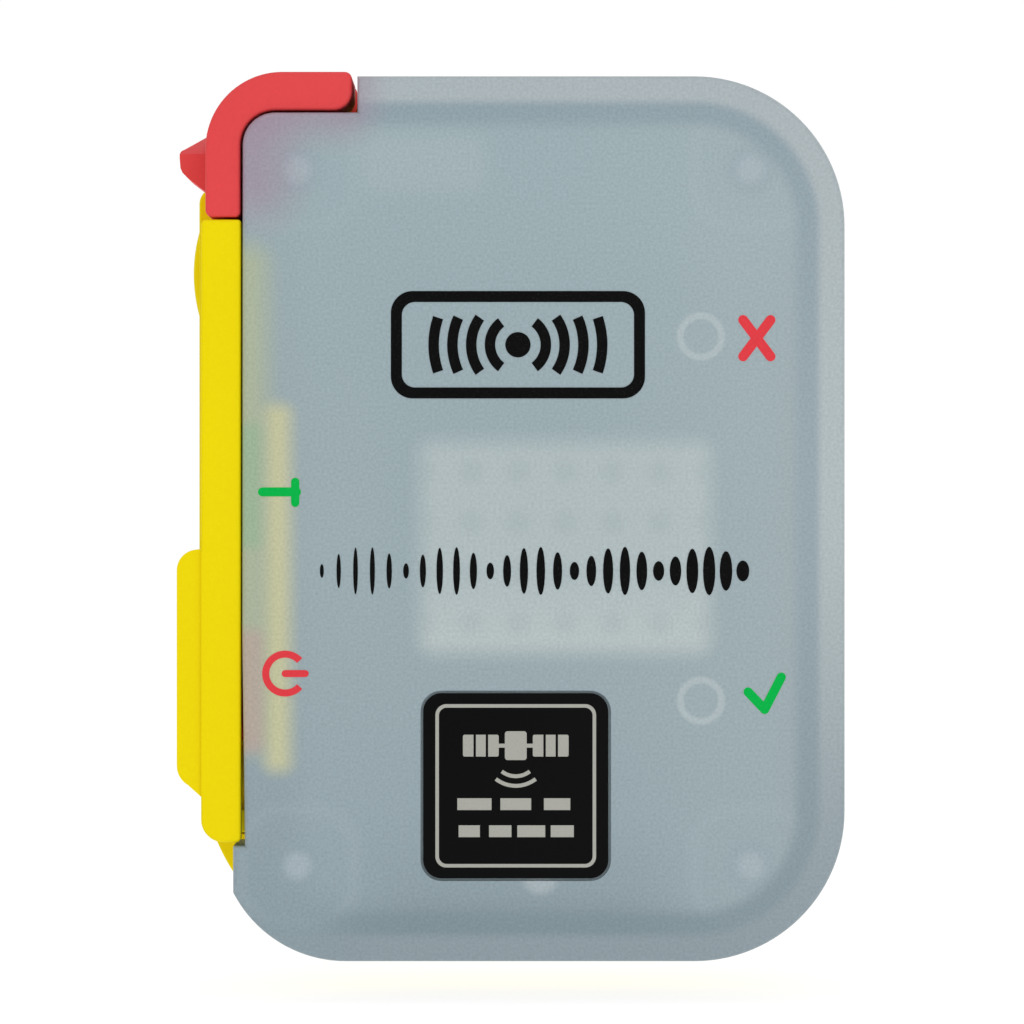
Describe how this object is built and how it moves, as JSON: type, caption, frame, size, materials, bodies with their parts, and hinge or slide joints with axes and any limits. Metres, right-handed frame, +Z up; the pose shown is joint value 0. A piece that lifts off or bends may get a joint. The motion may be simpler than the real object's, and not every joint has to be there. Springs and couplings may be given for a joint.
{
  "type": "emergency position beacon",
  "caption": "Pocket distress beacon: yellow case, frosted front, hinged guard over test and activate buttons, flip-up corner latch, spring-tape aerial wound round the edge.",
  "frame": {"origin": "middle of the underside, on the surface that the beacon stands on", "axes": "+Z up along the beacon, +X to its right seen from the front, +Y from the frosted front to the back"},
  "size_m": [0.0766, 0.04, 0.102],
  "materials": {
    "yellow_plastic": "satin moulded plastic, saturated safety yellow",
    "frosted_plastic": "frosted translucent plastic, blue-grey, fine grain",
    "red_plastic": "matte moulded plastic, warm red",
    "green_plastic": "matte moulded plastic, green",
    "black_rubber": "moulded silicone rubber, black",
    "steel": "plain stainless steel",
    "black_plastic": "black moulded plastic",
    "spring_tape": "black-coated spring steel strip",
    "label_film": "black printed film",
    "circuit_board": "green solder mask",
    "tinned_steel": "bright tinned sheet",
    "clear_plastic": "milky clear plastic",
    "lamp_lens": "lamp resin",
    "beige_ceramic": "unglazed beige ceramic",
    "pale_yellow_plastic": "pale yellow moulded plastic",
    "cell_sleeve": "plain shrink sleeve"
  },
  "bodies": {
    "case": {"activate_seal": "black_rubber", "activate_spring": "steel", "activate_switch": "black_plastic", "aerial_root_block": "black_plastic", "aerial_run_bottom": "spring_tape", "battery_cell_1": "cell_sleeve", "battery_cell_2": "cell_sleeve", "battery_contact_lower": "steel", "battery_contact_upper": "steel", "battery_cradle": "black_plastic", "battery_plug": "black_plastic", "board_screw_1": "steel", "board_screw_2": "steel", "case_gasket": "black_rubber", "case_screw_1": "steel", "case_screw_2": "steel", "case_screw_3": "steel", "case_screw_4": "steel", "circuit_board": "circuit_board", "fail_led": "lamp_lens", "fail_light_tube": "clear_plastic", "front_cover": "frosted_plastic", "front_label": "label_film", "gps_antenna": "beige_ceramic", "guard_hinge_pin": "steel", "latch_hinge_pin": "steel", "pass_led": "lamp_lens", "pass_light_tube": "clear_plastic", "pressure_vent": "black_plastic", "rear_case": "yellow_plastic", "rear_label": "label_film", "rf_shield_can": "tinned_steel", "strobe_led": "lamp_lens", "strobe_reflector": "beige_ceramic", "switch_rail": "pale_yellow_plastic", "test_seal": "black_rubber", "test_spring": "steel", "test_switch": "black_plastic"},
    "side_guard": {"side_guard": "yellow_plastic"},
    "latch_cap": {"latch_cap": "red_plastic"},
    "test_button": {"test_button": "green_plastic", "test_clip": "steel"},
    "activate_button": {"activate_button": "red_plastic", "activate_clip": "steel"},
    "aerial_link_1": {"aerial_link_1": "spring_tape"},
    "aerial_link_2": {"aerial_link_2": "spring_tape"},
    "aerial_link_3": {"aerial_link_3": "spring_tape"},
    "aerial_run_side": {"aerial_run_side": "spring_tape"},
    "aerial_link_4": {"aerial_link_4": "spring_tape"},
    "aerial_link_5": {"aerial_link_5": "spring_tape"},
    "aerial_link_6": {"aerial_link_6": "spring_tape"},
    "aerial_run_top": {"aerial_run_top": "spring_tape", "aerial_tip": "black_plastic"}
  },
  "joints": [
    {"name": "guard_hinge", "type": "hinge", "parent": "case", "child": "side_guard", "pos_m": [-0.0337, 0, 0.0152], "axis": [0, -1, 0], "range_deg": [0, 105]},
    {"name": "latch_hinge", "type": "hinge", "parent": "case", "child": "latch_cap", "pos_m": [-0.0204, 0, 0.0998], "axis": [0, 1, 0], "range_deg": [0, 90]},
    {"name": "test_press", "type": "slide", "parent": "case", "child": "test_button", "axis": [1, 0, 0], "range_m": [0, 0.001], "stiffness_N_per_m": 1500, "springref_m": -0.001, "deforming": ["test_spring"]},
    {"name": "activate_press", "type": "slide", "parent": "case", "child": "activate_button", "axis": [1, 0, 0], "range_m": [0, 0.0015], "stiffness_N_per_m": 1500, "springref_m": -0.001, "deforming": ["activate_spring"]},
    {"name": "aerial_unroll", "type": "hinge", "parent": "case", "child": "aerial_link_1", "pos_m": [0.02414, -0.0054, 0.0019], "axis": [0, 1, 0], "range_deg": [0, 22.5]},
    {"name": "aerial_bend_2", "type": "hinge", "parent": "aerial_link_1", "child": "aerial_link_2", "pos_m": [0.02977, -0.0054, 0.00423], "axis": [0, 1, 0], "range_deg": [0, 22.5]},
    {"name": "aerial_bend_3", "type": "hinge", "parent": "aerial_link_2", "child": "aerial_link_3", "pos_m": [0.03407, -0.0054, 0.00853], "axis": [0, 1, 0], "range_deg": [0, 22.5]},
    {"name": "aerial_bend_4", "type": "hinge", "parent": "aerial_link_3", "child": "aerial_run_side", "pos_m": [0.0364, -0.0054, 0.01416], "axis": [0, 1, 0], "range_deg": [0, 22.5]},
    {"name": "aerial_bend_5", "type": "hinge", "parent": "aerial_run_side", "child": "aerial_link_4", "pos_m": [0.0364, -0.0054, 0.08729], "axis": [0, 1, 0], "range_deg": [0, 22.5]},
    {"name": "aerial_bend_6", "type": "hinge", "parent": "aerial_link_4", "child": "aerial_link_5", "pos_m": [0.03407, -0.0054, 0.09292], "axis": [0, 1, 0], "range_deg": [0, 22.5]},
    {"name": "aerial_bend_7", "type": "hinge", "parent": "aerial_link_5", "child": "aerial_link_6", "pos_m": [0.02977, -0.0054, 0.09722], "axis": [0, 1, 0], "range_deg": [0, 22.5]},
    {"name": "aerial_bend_8", "type": "hinge", "parent": "aerial_link_6", "child": "aerial_run_top", "pos_m": [0.02414, -0.0054, 0.09955], "axis": [0, 1, 0], "range_deg": [0, 22.5]}
  ],
  "couplings": [
    {"joint": "aerial_bend_2", "follows": "aerial_unroll", "ratio": 1},
    {"joint": "aerial_bend_3", "follows": "aerial_unroll", "ratio": 1},
    {"joint": "aerial_bend_4", "follows": "aerial_unroll", "ratio": 1},
    {"joint": "aerial_bend_5", "follows": "aerial_unroll", "ratio": 1},
    {"joint": "aerial_bend_6", "follows": "aerial_unroll", "ratio": 1},
    {"joint": "aerial_bend_7", "follows": "aerial_unroll", "ratio": 1},
    {"joint": "aerial_bend_8", "follows": "aerial_unroll", "ratio": 1}
  ]
}
